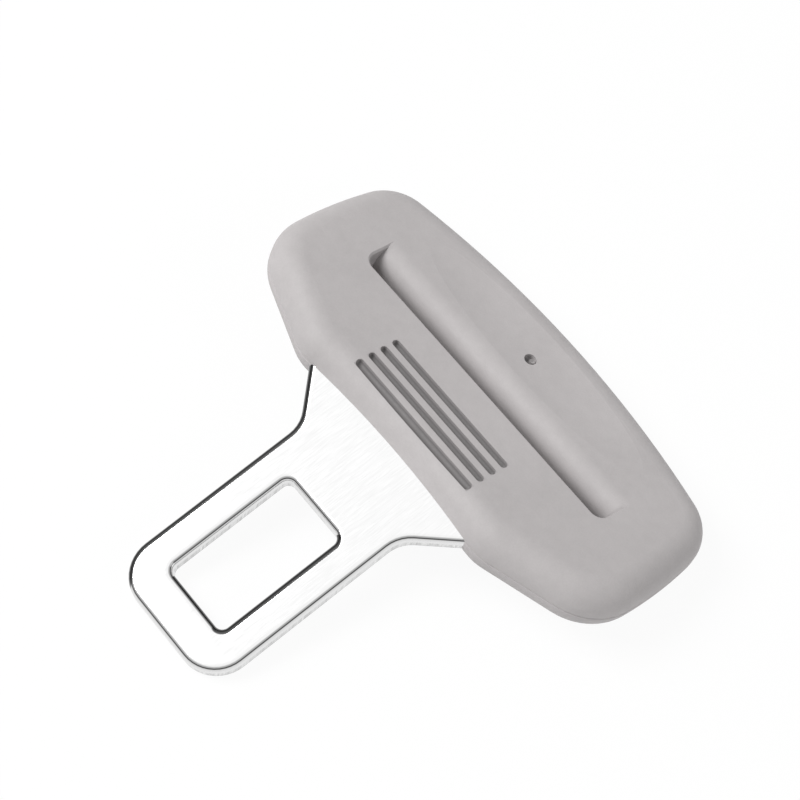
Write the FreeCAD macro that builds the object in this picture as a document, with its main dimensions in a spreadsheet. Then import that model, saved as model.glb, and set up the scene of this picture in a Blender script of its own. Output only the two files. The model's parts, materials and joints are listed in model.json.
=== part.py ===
import FreeCAD, Part
import math
import os
import Sketcher
from FreeCAD import Placement, Rotation, Vector

# Seat belt tongue clip: a bent steel latch plate clamped in a two-part moulded grip.
#
# Working frame of every piece: X runs along the grip, Y from the mouth of the grip to its far
# edge, Z up through the grooved front face. The origin is where the middle planes of the blade
# and of the anchor head meet, and the two mouldings part at Z = 0. The blade falls away from the
# grip towards its back, so the clip lies like a low roof: on the tip of the blade and on the far
# edge of the grip. Each piece's Placement leans it into that position, with the ground at Z = 0
# and the origin under the middle of the bounding box.

doc = FreeCAD.newDocument("seat_belt_tongue_clip")

# Driving dimensions, in millimetres and degrees.
DIMENSIONS = [
    # The steel plate
    ("plate_thickness", 2.5, "gauge of the steel"),
    ("bend_angle", 25, "how far the blade falls from the plane of the grip"),
    ("bend_radius", 3, "inside radius of the bend"),
    ("blade_width", 22, "standard tongue width"),
    ("blade_length", 41.5, "tip of the blade to the bend, on the middle plane"),
    ("tip_radius", 5.8, "corners of the tip"),
    ("window_width", 11.4, "latch window across the blade"),
    ("window_length", 20.6, "latch window along the blade"),
    ("window_setback", 6.1, "tip of the blade to the latch window"),
    ("window_radius", 1.8, "corners of the latch window"),
    ("neck_length", 7.9, "bend to where the blade starts to widen"),
    ("neck_angle", 43.7, "neck edge, from the axis of the blade"),
    ("shoulder_radius", 5, "rounding where the blade starts to widen"),
    ("die_roll", 0.6, "front edges drawn over by the punch"),
    ("burr_break", 0.2, "tumbled back edges"),
    # The outline of the grip
    ("grip_width", 75, "over the two ends"),
    ("mouth_setback", 1.55, "bend to the middle of the near edge"),
    ("mouth_margin", 2.3, "near edge beyond the neck on each side"),
    ("near_hollow_radius", 188, "concave near edge"),
    ("near_slope", 20.9, "near edge outside the mouth, from X"),
    ("near_corner_radius", 9.6, "corner between near edge and end"),
    ("mouth_corner_radius", 8, "corner between hollow and sloping near edge"),
    ("end_radius", 70, "bulged ends"),
    ("end_level", 13.9, "bend to the widest place"),
    ("far_reach", 33.9, "bend to the middle of the far edge"),
    ("far_radius", 146, "bowed far edge"),
    ("far_corner_radius", 7.7, "corner between end and far edge"),
    # The sections of the two mouldings
    ("front_height", 4.75, "parting plane to the front face"),
    ("front_wall", 0.75, "upright wall below the rounded front edge"),
    ("rear_height", 3.8, "parting plane to the back face"),
    ("rear_wall", 0.3, "upright wall above the rounded back edge"),
    ("seam_break", 0.15, "broken edge along the parting line"),
    ("rim", 3.2, "moulding outside the anchor head"),
    ("fit", 0.12, "clearance between moulding and cut edge of the steel"),
    # The webbing slot
    ("slot_level", 14, "bend to the near wall of the slot"),
    ("slot_gap", 2.9, "free width for the webbing"),
    ("slot_length", 51.7, "free length for the webbing"),
    ("slot_corner_radius", 1.8, "near corners of the slot"),
    ("slot_lip", 0.3, "broken edge of the near wall"),
    ("front_bar_radius", 3.2, "rolled far wall, front side"),
    ("rear_bar_radius", 2.4, "rolled far wall, back side"),
    ("lining", 1.3, "moulding between webbing and steel"),
    # The anchor head of the plate and the posts through it
    ("anchor_radius", 5, "corners of the anchor head"),
    ("post_diameter", 3, "welding posts of the rear moulding"),
    ("post_spread", 37, "between left and right posts"),
    ("post_reach", 1.5, "post beyond the steel"),
    ("post_fit", 0.1, "clearance round and above a post"),
    # The finger grooves
    ("groove_count", 4, "number of grooves"),
    ("groove_pitch", 2.3, "groove to groove"),
    ("groove_level", 1.0, "bend to the first groove"),
    ("groove_length", 24.6, "over the round ends"),
    ("groove_radius", 0.62, "ball-nosed floor"),
    ("groove_sink", 0.4, "straight wall between the face and the round floor"),
    # The hollow behind the bar and the gate mark in it
    ("hollow_land", 0.3, "flat between the rolled wall and the hollow"),
    ("hollow_width", 9.4, "across the hollow"),
    ("hollow_length", 46, "along the hollow"),
    ("hollow_depth", 0.42, "at the middle"),
    ("gate_offset", 0.7, "gate mark nearer the bar than the middle of the hollow"),
    ("gate_diameter", 1.9, "recess round the gate"),
    ("gate_depth", 1.3, "recess below the front face"),
    ("stub_diameter", 0.8, "torn gate left in the recess"),
    ("stub_offset", 0.35, "stub off the middle of the recess"),
]

dims = doc.addObject("Spreadsheet::Sheet", "dims")
for row, (alias, size, note) in enumerate(DIMENSIONS, start=1):
    dims.set(f"A{row}", alias)
    dims.set(f"B{row}", str(size))
    dims.set(f"C{row}", note)
    dims.setAlias(f"B{row}", alias)
doc.recompute()


def value(formula):
    """The present value of a formula over the sheet."""
    return float(dims.evalExpression(formula))


# Formulas that several features share.
HALF_GAUGE = "(dims.plate_thickness / 2)"
BEND_TANGENT = f"((dims.bend_radius + {HALF_GAUGE}) * tan(dims.bend_angle / 2))"
HALF_NECK = (
    f"(dims.blade_width / 2 + (dims.neck_length - {BEND_TANGENT}) * tan(dims.neck_angle))"
)
HALF_MOUTH = (
    "(dims.blade_width / 2 + dims.mouth_margin"
    " + (dims.neck_length - dims.mouth_setback / cos(dims.bend_angle)) * tan(dims.neck_angle))"
)
HALF_ANCHOR = "(dims.grip_width / 2 - dims.rim)"
ANCHOR_FAR = (
    "(dims.far_reach - dims.far_radius - dims.rim"
    f" + sqrt(dims.far_radius ^ 2 - {HALF_ANCHOR} ^ 2))"
)
SLOT_FAR = "(dims.slot_level + dims.slot_gap)"
HALF_SLOT = "(dims.slot_length / 2)"
NEAR_POSTS = f"(({BEND_TANGENT} + dims.slot_level - dims.lining) / 2)"
FAR_POSTS = f"(({SLOT_FAR} + dims.lining + {ANCHOR_FAR}) / 2)"
HOLLOW_LEVEL = (
    f"({SLOT_FAR} + dims.front_bar_radius + dims.hollow_land + dims.hollow_width / 2)"
)


def origin_plane(body, role):
    for plane in body.Origin.OriginFeatures:
        if plane.Role == role:
            return plane
    raise RuntimeError("no " + role)


def new_sketch(body, name, role="XY_Plane", right=None, up=None, out=None):
    """A sketch on one of the body's own origin planes, moved on it and off it by formulas."""
    sketch = body.newObject("Sketcher::SketchObject", name)
    sketch.AttachmentSupport = (origin_plane(body, role), [""])
    sketch.MapMode = "FlatFace"
    for axis, formula in (("x", right), ("y", up), ("z", out)):
        if formula is not None:
            sketch.setExpression("AttachmentOffset.Base." + axis, formula)
    doc.recompute()
    return sketch


def blade_sketch(body, name):
    """A sketch in the middle plane of the blade, which is tipped down about the bend."""
    sketch = new_sketch(body, name)
    tipped = Rotation(Vector(1, 0, 0), value("dims.bend_angle"))
    sketch.AttachmentOffset = Placement(Vector(0, 0, 0), tipped)
    sketch.setExpression("AttachmentOffset.Rotation.Angle", "dims.bend_angle")
    doc.recompute()
    return sketch


START, END, CENTRE = range(1, 4)
ORIGIN = (-1, 1)
X_AXIS, Y_AXIS = -1, -2


def relate(sketch, kind, *refs):
    sketch.addConstraint(Sketcher.Constraint(kind, *refs))


def bind(sketch, kind, refs, name, formula):
    """Add a dimension to the sketch and bind it to a formula over the sheet."""
    size = value(formula)
    if kind == "Angle":
        size = math.radians(size)
        formula = f"{formula} * 1 deg"
    index = sketch.addConstraint(Sketcher.Constraint(kind, *refs, size))
    sketch.renameConstraint(index, name)
    sketch.setExpression("Constraints." + name, formula)


def draw_line(sketch, first, last):
    return sketch.addGeometry(Part.LineSegment(Vector(*first, 0), Vector(*last, 0)), False)


def draw_circle(sketch, centre, radius):
    circle = Part.Circle(Vector(*centre, 0), Vector(0, 0, 1), radius)
    return sketch.addGeometry(circle, False)


def draw_arc(sketch, centre, radius, first, last):
    """An arc that runs anticlockwise about the centre, towards the points first and last."""
    begin = math.atan2(first[1] - centre[1], first[0] - centre[0])
    finish = math.atan2(last[1] - centre[1], last[0] - centre[0])
    circle = Part.Circle(Vector(*centre, 0), Vector(0, 0, 1), radius)
    return sketch.addGeometry(Part.ArcOfCircle(circle, begin, finish), False)


def closed_lines(sketch, corners):
    """A closed run of lines through the corners, joined end to start."""
    following = corners[1:] + corners[:1]
    lines = [draw_line(sketch, first, last) for first, last in zip(corners, following)]
    for line, next_line in zip(lines, lines[1:] + lines[:1]):
        relate(sketch, "Coincident", line, END, next_line, START)
    return lines


def rectangle(sketch, half_width, low, high):
    """A rectangle centred on the Y axis, from the level low to the level high."""
    across, bottom, top = value(half_width), value(low), value(high)
    corners = [(-across, bottom), (across, bottom), (across, top), (-across, top)]
    lines = closed_lines(sketch, corners)
    relate(sketch, "Horizontal", lines[2])
    relate(sketch, "Vertical", lines[1])
    relate(sketch, "Vertical", lines[3])
    relate(sketch, "Symmetric", lines[0], START, lines[0], END, Y_AXIS)
    bind(sketch, "DistanceX", (*ORIGIN, lines[0], END), "half_width", half_width)
    bind(sketch, "DistanceY", (*ORIGIN, lines[0], END), "low", low)
    bind(sketch, "DistanceY", (*ORIGIN, lines[2], START), "high", high)


def feature(body, kind, name, sketch, **settings):
    """A sketch-based feature; settings given as formulas are bound to the sheet."""
    item = body.newObject("PartDesign::" + kind, name)
    item.Profile = sketch
    for key, setting in settings.items():
        if isinstance(setting, str) and "dims." in setting:
            item.setExpression(key, setting)
        else:
            setattr(item, key, setting)
    sketch.Visibility = False
    doc.recompute()
    return item


def ease(body, kind, key, name, size, chosen):
    """Dress the edges of the body's tip that the test chosen picks."""
    base = body.Tip
    names = [f"Edge{i}" for i, edge in enumerate(base.Shape.Edges, start=1) if chosen(edge)]
    if not names:
        raise RuntimeError("no edge found for " + name)
    item = body.newObject("PartDesign::" + kind, name)
    item.Base = (base, names)
    item.setExpression(key, size)
    doc.recompute()


def fillet(body, name, radius, chosen):
    ease(body, "Fillet", "Radius", name, radius, chosen)


def chamfer(body, name, size, chosen):
    ease(body, "Chamfer", "Size", name, size, chosen)


NEARLY = 1e-4
X_WARDS, Z_WARDS = Vector(1, 0, 0), Vector(0, 0, 1)


def runs_along(edge, direction):
    """A straight edge parallel to the direction."""
    if edge.Curve.TypeId != "Part::GeomLine":
        return False
    return edge.Curve.Direction.cross(direction).Length < NEARLY


def in_plane(edge, point, normal):
    """An edge that lies in the plane through the point."""
    first, last = edge.ParameterRange
    places = [edge.valueAt(first + (last - first) * share) for share in (0, 0.4, 1)]
    return all(abs((place - point).dot(normal)) < NEARLY for place in places)


def post_circles(sketch, level, radius):
    """The left and right circle of one row of posts."""
    across, up, size = value("dims.post_spread / 2"), value(level), value(radius)
    left = draw_circle(sketch, (-across, up), size)
    right = draw_circle(sketch, (across, up), size)
    relate(sketch, "Symmetric", left, CENTRE, right, CENTRE, Y_AXIS)
    relate(sketch, "Equal", left, right)
    bind(sketch, "DistanceX", (*ORIGIN, right, CENTRE), "across", "dims.post_spread / 2")
    bind(sketch, "DistanceY", (*ORIGIN, right, CENTRE), "level", level)
    bind(sketch, "Radius", (right,), "radius", radius)


def bend_section(sketch):
    """Section of the bend: two arcs about one centre on the back side."""
    inner = "dims.bend_radius"
    outer = "(dims.bend_radius + dims.plate_thickness)"
    level = f"(dims.bend_radius + {HALF_GAUGE})"
    centre = (value(BEND_TANGENT), -value(level))
    tilt = math.radians(value("dims.bend_angle"))

    def ray(angle, radius):
        return (centre[0] - radius * math.sin(angle), centre[1] + radius * math.cos(angle))

    arcs = [draw_arc(sketch, centre, value(radius), ray(0, 1), ray(tilt, 1))
            for radius in (inner, outer)]
    ends = [draw_line(sketch, ray(angle, value(inner)), ray(angle, value(outer)))
            for angle in (0, tilt)]
    for end, point in zip(ends, (START, END)):
        relate(sketch, "Coincident", end, START, arcs[0], point)
        relate(sketch, "Coincident", end, END, arcs[1], point)
        relate(sketch, "PointOnObject", arcs[0], CENTRE, end)
    relate(sketch, "Coincident", arcs[0], CENTRE, arcs[1], CENTRE)
    relate(sketch, "Vertical", ends[0])
    bind(sketch, "Radius", (arcs[0],), "inner", inner)
    bind(sketch, "Radius", (arcs[1],), "outer", outer)
    bind(sketch, "DistanceX", (*ORIGIN, arcs[0], CENTRE), "tangent", BEND_TANGENT)
    bind(sketch, "DistanceY", (arcs[0], CENTRE, *ORIGIN), "level", level)
    bind(sketch, "Angle", (Y_AXIS, START, ends[1], START), "bend", "dims.bend_angle")


def blade_axes():
    """From the bend to the tip, and out through the front of the blade."""
    tilt = math.radians(value("dims.bend_angle"))
    return (Vector(0, -math.cos(tilt), -math.sin(tilt)),
            Vector(0, -math.sin(tilt), math.cos(tilt)))


def along_blade(edge):
    """How far the middle of an edge lies from the bend towards the tip."""
    return edge.CenterOfMass.dot(blade_axes()[0])


def steel_form(body, kind, clear):
    """The bent steel, padded for the plate itself or pocketed for its room in a moulding.

    clear is a formula for how far the cut edges are moved outwards.
    """
    name = body.Name + "_steel"
    half_blade = f"(dims.blade_width / 2 + {clear})"
    half_neck = f"({HALF_NECK} + {clear})"
    half_anchor = f"({HALF_ANCHOR} + {clear})"
    tip = f"(dims.blade_length + {clear})"
    anchor_far = f"({ANCHOR_FAR} + {clear})"
    margin = f"(dims.lining + dims.fit - {clear})"
    x_blade, x_neck, x_anchor = value(half_blade), value(half_neck), value(half_anchor)
    y_tip, y_neck, y_bend = value(tip), value("dims.neck_length"), value(BEND_TANGENT)
    y_wide = y_bend + (x_anchor - x_neck) * math.tan(math.radians(value("dims.near_slope")))
    y_far = value(anchor_far)

    # The blade, flat in its own plane, from the tip to where the bend starts.
    blade = blade_sketch(body, name + "_blade_outline")
    lines = closed_lines(blade, [
        (-x_blade, -y_tip), (x_blade, -y_tip), (x_blade, -y_neck),
        (x_neck, -y_bend), (-x_neck, -y_bend), (-x_blade, -y_neck),
    ])
    relate(blade, "Symmetric", lines[0], START, lines[0], END, Y_AXIS)
    relate(blade, "Symmetric", lines[3], START, lines[3], END, Y_AXIS)
    relate(blade, "Symmetric", lines[1], END, lines[4], END, Y_AXIS)
    relate(blade, "Vertical", lines[1])
    bind(blade, "DistanceX", (*ORIGIN, lines[0], END), "half_blade", half_blade)
    bind(blade, "DistanceX", (*ORIGIN, lines[2], END), "half_neck", half_neck)
    bind(blade, "DistanceY", (lines[0], END, *ORIGIN), "tip", tip)
    bind(blade, "DistanceY", (lines[1], END, *ORIGIN), "neck", "dims.neck_length")
    bind(blade, "DistanceY", (lines[2], END, *ORIGIN), "bend", BEND_TANGENT)
    feature(body, kind, name + "_blade", blade, Length="dims.plate_thickness", Midplane=True)

    bend = new_sketch(body, name + "_bend_section", "YZ_Plane")
    bend_section(bend)
    feature(body, kind, name + "_bend", bend, Length=f"2 * {half_neck}", Midplane=True)

    # The anchor head widens along the near edge of the grip to full width. Its slot leaves room
    # for the lining of the webbing slot.
    anchor = new_sketch(body, name + "_anchor_outline")
    lines = closed_lines(anchor, [
        (-x_neck, y_bend), (x_neck, y_bend), (x_anchor, y_wide),
        (x_anchor, y_far), (-x_anchor, y_far), (-x_anchor, y_wide),
    ])
    relate(anchor, "Symmetric", lines[0], START, lines[0], END, Y_AXIS)
    relate(anchor, "Symmetric", lines[3], START, lines[3], END, Y_AXIS)
    relate(anchor, "Symmetric", lines[1], END, lines[4], END, Y_AXIS)
    relate(anchor, "Vertical", lines[2])
    bind(anchor, "DistanceX", (*ORIGIN, lines[0], END), "half_neck", half_neck)
    bind(anchor, "DistanceX", (*ORIGIN, lines[2], START), "half_anchor", half_anchor)
    bind(anchor, "DistanceY", (*ORIGIN, lines[0], END), "near", BEND_TANGENT)
    bind(anchor, "DistanceY", (*ORIGIN, lines[2], END), "far", anchor_far)
    bind(anchor, "Angle", (X_AXIS, START, lines[1], START), "slope", "dims.near_slope")
    rectangle(anchor, f"({HALF_SLOT} + {margin})", f"(dims.slot_level - {margin})",
              f"({SLOT_FAR} + {margin})")
    feature(body, kind, name + "_anchor", anchor, Length="dims.plate_thickness", Midplane=True)

    def at_anchor_corner(edge):
        return (runs_along(edge, Z_WARDS)
                and abs(abs(edge.CenterOfMass.x) - x_anchor) < NEARLY)

    fillet(body, name + "_anchor_corners", f"dims.anchor_radius + {clear}", at_anchor_corner)


def latch_plate():
    """The steel plate with its latch window, rounded blade and holes for the posts."""
    body = doc.addObject("PartDesign::Body", "latch_plate")
    steel_form(body, "Pad", "0")

    window = blade_sketch(body, "window_outline")
    low = "(dims.window_setback - dims.blade_length)"
    rectangle(window, "dims.window_width / 2", low, f"({low} + dims.window_length)")
    feature(body, "Pocket", "window", window, Midplane=True, Type="ThroughAll")

    normal = blade_axes()[1]
    half_window = value("dims.window_width / 2")
    tip, neck, bend = (value(formula) for formula in
                       ("dims.blade_length", "dims.neck_length", BEND_TANGENT))

    def across_blade(edge, level):
        return runs_along(edge, normal) and abs(along_blade(edge) - level) < NEARLY

    def on_blade_face(edge, side):
        level = normal * (value(HALF_GAUGE) * side)
        return in_plane(edge, level, normal) and along_blade(edge) > bend + NEARLY

    fillet(body, "tip_corners", "dims.tip_radius", lambda edge: across_blade(edge, tip))
    fillet(body, "shoulders", "dims.shoulder_radius", lambda edge: across_blade(edge, neck))
    fillet(body, "window_corners", "dims.window_radius",
           lambda edge: (runs_along(edge, normal)
                         and abs(abs(edge.CenterOfMass.x) - half_window) < NEARLY))
    chamfer(body, "die_roll", "dims.die_roll", lambda edge: on_blade_face(edge, 1))
    chamfer(body, "burr_break", "dims.burr_break", lambda edge: on_blade_face(edge, -1))

    for row, level in (("near", NEAR_POSTS), ("far", FAR_POSTS)):
        holes = new_sketch(body, row + "_post_circles")
        post_circles(holes, level, "(dims.post_diameter / 2 + dims.post_fit)")
        feature(body, "Pocket", row + "_post_holes", holes, Midplane=True, Type="ThroughAll")
    return body


def grip_outline(sketch):
    """The outline of the grip: hollow near edge, two slopes, bulged ends and bowed far edge."""
    half_mouth = value(HALF_MOUTH)
    slope = math.radians(value("dims.near_slope"))
    setback = value("dims.mouth_setback")
    hollow = value("dims.near_hollow_radius")
    far_radius = value("dims.far_radius")
    end_radius, level = value("dims.end_radius"), value("dims.end_level")
    end_x = value("dims.grip_width / 2") - end_radius
    far_y = value("dims.far_reach") - far_radius
    mouth = (half_mouth, math.sqrt(hollow ** 2 - half_mouth ** 2) - setback - hollow)

    # The slope meets the end where its distance from the middle of that arc is the radius.
    reach_x, reach_y = mouth[0] - end_x, mouth[1] - level
    along = reach_x * math.cos(slope) + reach_y * math.sin(slope)
    run = math.sqrt(along ** 2 - reach_x ** 2 - reach_y ** 2 + end_radius ** 2) - along
    near_corner = (mouth[0] + run * math.cos(slope), mouth[1] + run * math.sin(slope))

    # A far corner touches the end and the far edge, so its centre is the third corner of a
    # triangle with the centres of those two arcs.
    corner = value("dims.far_corner_radius")
    to_far, to_end = far_radius - corner, end_radius - corner
    gap = math.hypot(end_x, level - far_y)
    toward = math.atan2(level - far_y, end_x)
    cosine = (to_far ** 2 + gap ** 2 - to_end ** 2) / (2 * to_far * gap)
    bearing = toward - math.acos(cosine)
    centre = (to_far * math.cos(bearing), far_y + to_far * math.sin(bearing))
    far_touch = (far_radius * math.cos(bearing), far_y + far_radius * math.sin(bearing))
    end_touch = (end_x + (centre[0] - end_x) * end_radius / to_end,
                 level + (centre[1] - level) * end_radius / to_end)

    def mirrored(point):
        return (-point[0], point[1])

    near = draw_arc(sketch, (0, -setback - hollow), hollow, mouth, mirrored(mouth))
    right_slope = draw_line(sketch, mouth, near_corner)
    right_end = draw_arc(sketch, (end_x, level), end_radius, near_corner, end_touch)
    right_corner = draw_arc(sketch, centre, corner, end_touch, far_touch)
    far_edge = draw_arc(sketch, (0, far_y), far_radius, far_touch, mirrored(far_touch))
    left_corner = draw_arc(sketch, mirrored(centre), corner, mirrored(far_touch),
                           mirrored(end_touch))
    left_end = draw_arc(sketch, (-end_x, level), end_radius, mirrored(end_touch),
                        mirrored(near_corner))
    left_slope = draw_line(sketch, mirrored(mouth), mirrored(near_corner))

    relate(sketch, "Coincident", near, START, right_slope, START)
    relate(sketch, "Coincident", near, END, left_slope, START)
    relate(sketch, "Coincident", right_slope, END, right_end, START)
    relate(sketch, "Tangent", right_end, END, right_corner, START)
    relate(sketch, "Tangent", right_corner, END, far_edge, START)
    relate(sketch, "Tangent", far_edge, END, left_corner, START)
    relate(sketch, "Tangent", left_corner, END, left_end, START)
    relate(sketch, "Equal", right_corner, left_corner)
    relate(sketch, "Coincident", left_end, END, left_slope, END)
    relate(sketch, "PointOnObject", near, CENTRE, Y_AXIS)
    relate(sketch, "PointOnObject", far_edge, CENTRE, Y_AXIS)
    relate(sketch, "Symmetric", near, START, near, END, Y_AXIS)
    relate(sketch, "Symmetric", right_end, CENTRE, left_end, CENTRE, Y_AXIS)
    relate(sketch, "Symmetric", right_slope, END, left_slope, END, Y_AXIS)
    bind(sketch, "Radius", (near,), "near_radius", "dims.near_hollow_radius")
    bind(sketch, "Radius", (far_edge,), "far_radius", "dims.far_radius")
    bind(sketch, "Radius", (right_end,), "end_radius", "dims.end_radius")
    bind(sketch, "Radius", (right_corner,), "corner_radius", "dims.far_corner_radius")
    bind(sketch, "DistanceX", (*ORIGIN, near, START), "half_mouth", HALF_MOUTH)
    bind(sketch, "DistanceY", (near, CENTRE, *ORIGIN), "near_centre",
         "dims.near_hollow_radius + dims.mouth_setback")
    bind(sketch, "DistanceY", (far_edge, CENTRE, *ORIGIN), "far_centre",
         "dims.far_radius - dims.far_reach")
    bind(sketch, "DistanceX", (right_end, CENTRE, *ORIGIN), "end_centre",
         "dims.end_radius - dims.grip_width / 2")
    bind(sketch, "DistanceY", (*ORIGIN, right_end, CENTRE), "end_level", "dims.end_level")
    bind(sketch, "Angle", (X_AXIS, START, right_slope, START), "slope", "dims.near_slope")


def slot_section(sketch, bar_radius, height, side):
    """Section of the webbing slot: straight near wall, far wall rolled over to the face.

    side is 1 towards the front face and -1 towards the back face.
    """
    near, far = value("dims.slot_level"), value(SLOT_FAR)
    radius, face = value(bar_radius), value(height)
    crest = far + radius
    wall = draw_line(sketch, (near, -side * radius), (near, side * (face + radius)))
    cover = draw_line(sketch, (near, side * (face + radius)), (crest, side * (face + radius)))
    drop = draw_line(sketch, (crest, side * (face + radius)), (crest, side * face))
    far_wall = draw_line(sketch, (far, side * (face - radius)), (far, -side * radius))
    floor = draw_line(sketch, (far, -side * radius), (near, -side * radius))
    ends = ((crest, side * face), (far, side * (face - radius)))
    centre = (crest, side * (face - radius))
    roll = draw_arc(sketch, centre, radius, *(ends if side > 0 else ends[::-1]))
    at_face, at_wall = (START, END) if side > 0 else (END, START)

    relate(sketch, "Coincident", wall, END, cover, START)
    relate(sketch, "Coincident", cover, END, drop, START)
    relate(sketch, "Coincident", drop, END, roll, at_face)
    relate(sketch, "Tangent", roll, at_wall, far_wall, START)
    relate(sketch, "Coincident", far_wall, END, floor, START)
    relate(sketch, "Coincident", floor, END, wall, START)
    relate(sketch, "Vertical", wall)
    relate(sketch, "Vertical", drop)
    relate(sketch, "Vertical", far_wall)
    relate(sketch, "Horizontal", cover)
    relate(sketch, "Horizontal", floor)
    relate(sketch, "Vertical", roll, CENTRE, roll, at_face)
    bind(sketch, "Radius", (roll,), "bar_radius", bar_radius)
    bind(sketch, "DistanceX", (*ORIGIN, wall, START), "near_wall", "dims.slot_level")
    bind(sketch, "DistanceX", (*ORIGIN, far_wall, START), "far_wall", SLOT_FAR)
    rise = (*ORIGIN, roll, at_face) if side > 0 else (roll, at_face, *ORIGIN)
    bind(sketch, "DistanceY", rise, "face", height)
    over = (roll, at_face, cover, END) if side > 0 else (cover, END, roll, at_face)
    bind(sketch, "DistanceY", over, "over", bar_radius)
    under = (wall, START, *ORIGIN) if side > 0 else (*ORIGIN, wall, START)
    bind(sketch, "DistanceY", under, "under", bar_radius)


def moulding(name, side):
    """One half of the grip: outline, rounded face, webbing slot and the room for the plate."""
    half = "front" if side > 0 else "rear"
    height, wall = f"dims.{half}_height", f"dims.{half}_wall"
    bar_radius = f"dims.{half}_bar_radius"
    body = doc.addObject("PartDesign::Body", name)
    outline = new_sketch(body, name + "_outline")
    grip_outline(outline)
    feature(body, "Pad", name + "_block", outline, Length=height, Reversed=side < 0)

    face = Vector(0, 0, side * value(height))
    half_mouth, half_grip = value(HALF_MOUTH), value("dims.grip_width / 2")
    widest = value("dims.end_level")

    def at_mouth(edge):
        return runs_along(edge, Z_WARDS) and abs(abs(edge.CenterOfMass.x) - half_mouth) < NEARLY

    def at_near_corner(edge):
        place = edge.CenterOfMass
        return (runs_along(edge, Z_WARDS) and place.y < widest
                and abs(place.x) > (half_mouth + half_grip) / 2)

    fillet(body, name + "_mouth_corners", "dims.mouth_corner_radius", at_mouth)
    fillet(body, name + "_near_corners", "dims.near_corner_radius", at_near_corner)
    fillet(body, name + "_face_round", f"{height} - {wall}",
           lambda edge: in_plane(edge, face, Z_WARDS))
    chamfer(body, name + "_seam", "dims.seam_break",
            lambda edge: in_plane(edge, Vector(0, 0, 0), Z_WARDS))

    section = new_sketch(body, name + "_slot_section", "YZ_Plane")
    slot_section(section, bar_radius, height, side)
    feature(body, "Pocket", name + "_slot", section, Length="dims.slot_length", Midplane=True)
    near_wall, half_slot = value("dims.slot_level"), value(HALF_SLOT)

    def at_slot_corner(edge):
        place = edge.CenterOfMass
        return (runs_along(edge, Z_WARDS) and abs(place.y - near_wall) < NEARLY
                and abs(abs(place.x) - half_slot) < NEARLY)

    def at_lip(edge):
        place = edge.CenterOfMass
        return (in_plane(edge, face, Z_WARDS) and runs_along(edge, X_WARDS)
                and abs(place.y - near_wall) < NEARLY)

    fillet(body, name + "_slot_corners", "dims.slot_corner_radius", at_slot_corner)
    if side > 0:
        chamfer(body, name + "_slot_lip", "dims.slot_lip", at_lip)
    steel_form(body, "Pocket", "dims.fit")
    return body


def cut_sockets(body):
    """The blind sockets of the front moulding that the posts are welded into."""
    for row, level in (("near", NEAR_POSTS), ("far", FAR_POSTS)):
        circles = new_sketch(body, row + "_socket_circles")
        post_circles(circles, level, "(dims.post_diameter / 2 + dims.post_fit)")
        feature(body, "Pocket", row + "_sockets", circles, Reversed=True,
                Length=f"{HALF_GAUGE} + dims.post_reach + dims.post_fit")


def add_posts(body):
    """The posts of the rear moulding, from the floor of its pocket through the steel."""
    for row, level in (("near", NEAR_POSTS), ("far", FAR_POSTS)):
        circles = new_sketch(body, row + "_post_sections", out=f"-{HALF_GAUGE}")
        post_circles(circles, level, "(dims.post_diameter / 2)")
        feature(body, "Pad", row + "_posts", circles,
                Length="dims.plate_thickness + dims.post_reach")


def stadium(sketch, half_length, radius):
    """A slot outline with round ends, along X about the origin of the sketch."""
    bulge = value(radius)
    run = value(half_length) - bulge
    left = draw_arc(sketch, (-run, 0), bulge, (-run, bulge), (-run, -bulge))
    right = draw_arc(sketch, (run, 0), bulge, (run, -bulge), (run, bulge))
    low = draw_line(sketch, (-run, -bulge), (run, -bulge))
    high = draw_line(sketch, (run, bulge), (-run, bulge))
    relate(sketch, "Tangent", left, END, low, START)
    relate(sketch, "Tangent", low, END, right, START)
    relate(sketch, "Tangent", right, END, high, START)
    relate(sketch, "Tangent", high, END, left, START)
    relate(sketch, "Symmetric", left, CENTRE, right, CENTRE, *ORIGIN)
    relate(sketch, "Horizontal", low)
    bind(sketch, "Radius", (right,), "radius", radius)
    bind(sketch, "DistanceX", (*ORIGIN, right, CENTRE), "run", f"{half_length} - {radius}")


def half_stadium(sketch, half_length, radius):
    """The lower half of the same outline, to be turned about its upper edge."""
    bulge, half = value(radius), value(half_length)
    run = half - bulge
    left = draw_arc(sketch, (-run, 0), bulge, (-half, 0), (-run, -bulge))
    right = draw_arc(sketch, (run, 0), bulge, (run, -bulge), (half, 0))
    floor = draw_line(sketch, (-run, -bulge), (run, -bulge))
    cover = draw_line(sketch, (half, 0), (-half, 0))
    relate(sketch, "Tangent", left, END, floor, START)
    relate(sketch, "Tangent", floor, END, right, START)
    relate(sketch, "Coincident", right, END, cover, START)
    relate(sketch, "Coincident", cover, END, left, START)
    relate(sketch, "Symmetric", left, CENTRE, right, CENTRE, Y_AXIS)
    relate(sketch, "PointOnObject", right, CENTRE, X_AXIS)
    relate(sketch, "PointOnObject", cover, START, X_AXIS)
    relate(sketch, "PointOnObject", cover, END, X_AXIS)
    relate(sketch, "Equal", left, right)
    bind(sketch, "Radius", (right,), "radius", radius)
    bind(sketch, "DistanceX", (*ORIGIN, cover, START), "half_length", half_length)


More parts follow.
